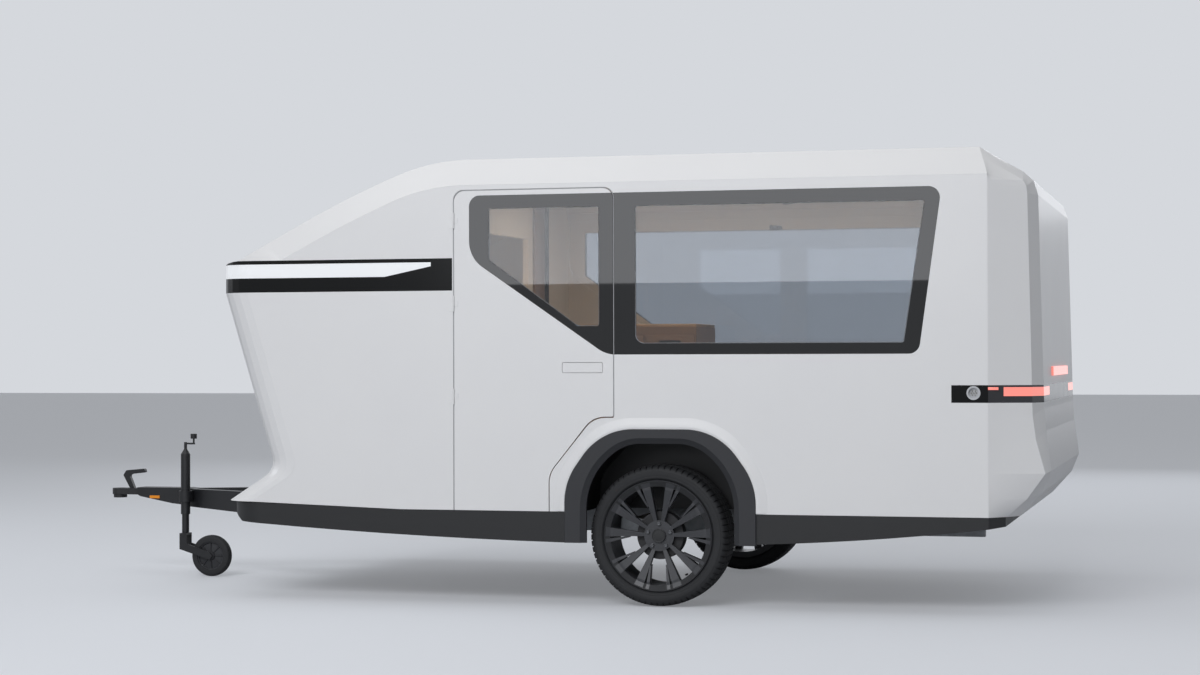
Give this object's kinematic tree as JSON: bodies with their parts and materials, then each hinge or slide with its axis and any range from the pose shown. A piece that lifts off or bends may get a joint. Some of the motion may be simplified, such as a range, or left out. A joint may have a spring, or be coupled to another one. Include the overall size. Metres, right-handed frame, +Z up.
{
  "type": "touring caravan",
  "caption": "Towed two-wheel touring caravan with a hollow cabin, an opening door, dark-framed side windows, a drawbar with a ball coupling and a jockey wheel.",
  "frame": {"origin": "on the ground, at the middle of the whole part's length and width", "axes": "+Z up, -X towards the coupling at the front, -Y towards the door side"},
  "size_m": [5.13, 2.32, 2.117],
  "materials": {
    "body_white": "satin white panels",
    "band_dark": "gloss black band",
    "floor": "matte ply with a vinyl face",
    "window_black": "gloss black",
    "window_glass": "tinted",
    "lamp_white": "lit white lens",
    "lamp_red": "red lens",
    "inlet": "pale flange and dark socket",
    "arch_grey": "dark grey grained",
    "liner": "matte black",
    "skirt_dark": "near-black satin",
    "galvanised": "galvanised",
    "drawbar_black": "black coated steel",
    "coupling_cast": "dark coated",
    "lever_dark": "dark grip",
    "jockey_black": "black coated steel",
    "jockey_rubber": "matte",
    "reflector_amber": "amber",
    "drum_iron": "dark",
    "alloy_dark": "dark satin",
    "tyre": "matte",
    "furniture_wood": "warm satin wood",
    "fabric_beige": "woven beige"
  },
  "bodies": {
    "root": {"roof": "body_white", "rear_cap": "body_white", "nose_panel": "body_white", "rear_panel": "body_white", "side_wall_left": "body_white", "side_wall_right": "body_white", "door_hinges": "body_white", "front_band": "band_dark", "rear_band": "band_dark", "floor_panel": "floor", "window_frame_left": "window_black", "window_frame_right": "window_black", "window_pane_left": "window_glass", "window_pane_right": "window_glass", "front_lamp": "lamp_white", "tail_lamps": "lamp_red", "rear_lamp": "lamp_red", "charging_inlet": "inlet", "arch_trims": "arch_grey", "wheel_boxes": "liner", "front_skirt": "skirt_dark", "rear_skirt": "skirt_dark", "chassis_rails": "galvanised", "axle_beam": "galvanised", "swing_arm_left": "galvanised", "swing_arm_right": "galvanised", "drawbar_frame": "drawbar_black", "jockey_clamp": "drawbar_black", "coupling_head": "coupling_cast", "coupling_lever": "lever_dark", "jockey_crank": "lever_dark", "jockey_tube": "jockey_black", "side_reflectors": "reflector_amber", "front_bulkhead": "furniture_wood", "bunk_base": "furniture_wood", "kitchen_unit": "furniture_wood", "rear_bench": "furniture_wood", "bunk_mattress": "fabric_beige", "pillows": "fabric_beige", "seat_cushion": "fabric_beige", "back_cushions": "fabric_beige"},
    "door": {"door": "body_white", "door_handle": "body_white", "door_knuckles": "body_white", "door_window_frame": "window_black", "door_pane": "window_glass"},
    "wheel_left": {"hub_left": "drum_iron", "rim_left": "alloy_dark", "tyre_left": "tyre"},
    "wheel_right": {"hub_right": "drum_iron", "rim_right": "alloy_dark", "tyre_right": "tyre"},
    "jockey_leg": {"jockey_leg": "drawbar_black"},
    "jockey_fork": {"jockey_fork": "jockey_black"},
    "jockey_wheel": {"jockey_wheel": "jockey_rubber"}
  },
  "joints": [
    {"name": "wheel_left_spin", "type": "hinge", "parent": "root", "child": "wheel_left", "pos_m": [0.762, -1.09, 0.3315], "axis": [0, 1, 0], "continuous": true},
    {"name": "wheel_right_spin", "type": "hinge", "parent": "root", "child": "wheel_right", "pos_m": [0.762, 1.09, 0.3315], "axis": [0, 1, 0], "continuous": true},
    {"name": "door_hinge", "type": "hinge", "parent": "root", "child": "door", "pos_m": [-0.2155, -1.155, 1.2], "axis": [0, 0, -1], "range_deg": [0, 110]},
    {"name": "jockey_lift", "type": "slide", "parent": "root", "child": "jockey_leg", "axis": [0, 0, 1], "range_m": [0, 0.09]},
    {"name": "jockey_swivel", "type": "hinge", "parent": "jockey_leg", "child": "jockey_fork", "pos_m": [-2.084, -0.112, 0.23], "axis": [0, 0, 1], "continuous": true},
    {"name": "jockey_spin", "type": "hinge", "parent": "jockey_fork", "child": "jockey_wheel", "pos_m": [-1.93, -0.112, 0.11], "axis": [0, 1, 0], "continuous": true}
  ]
}
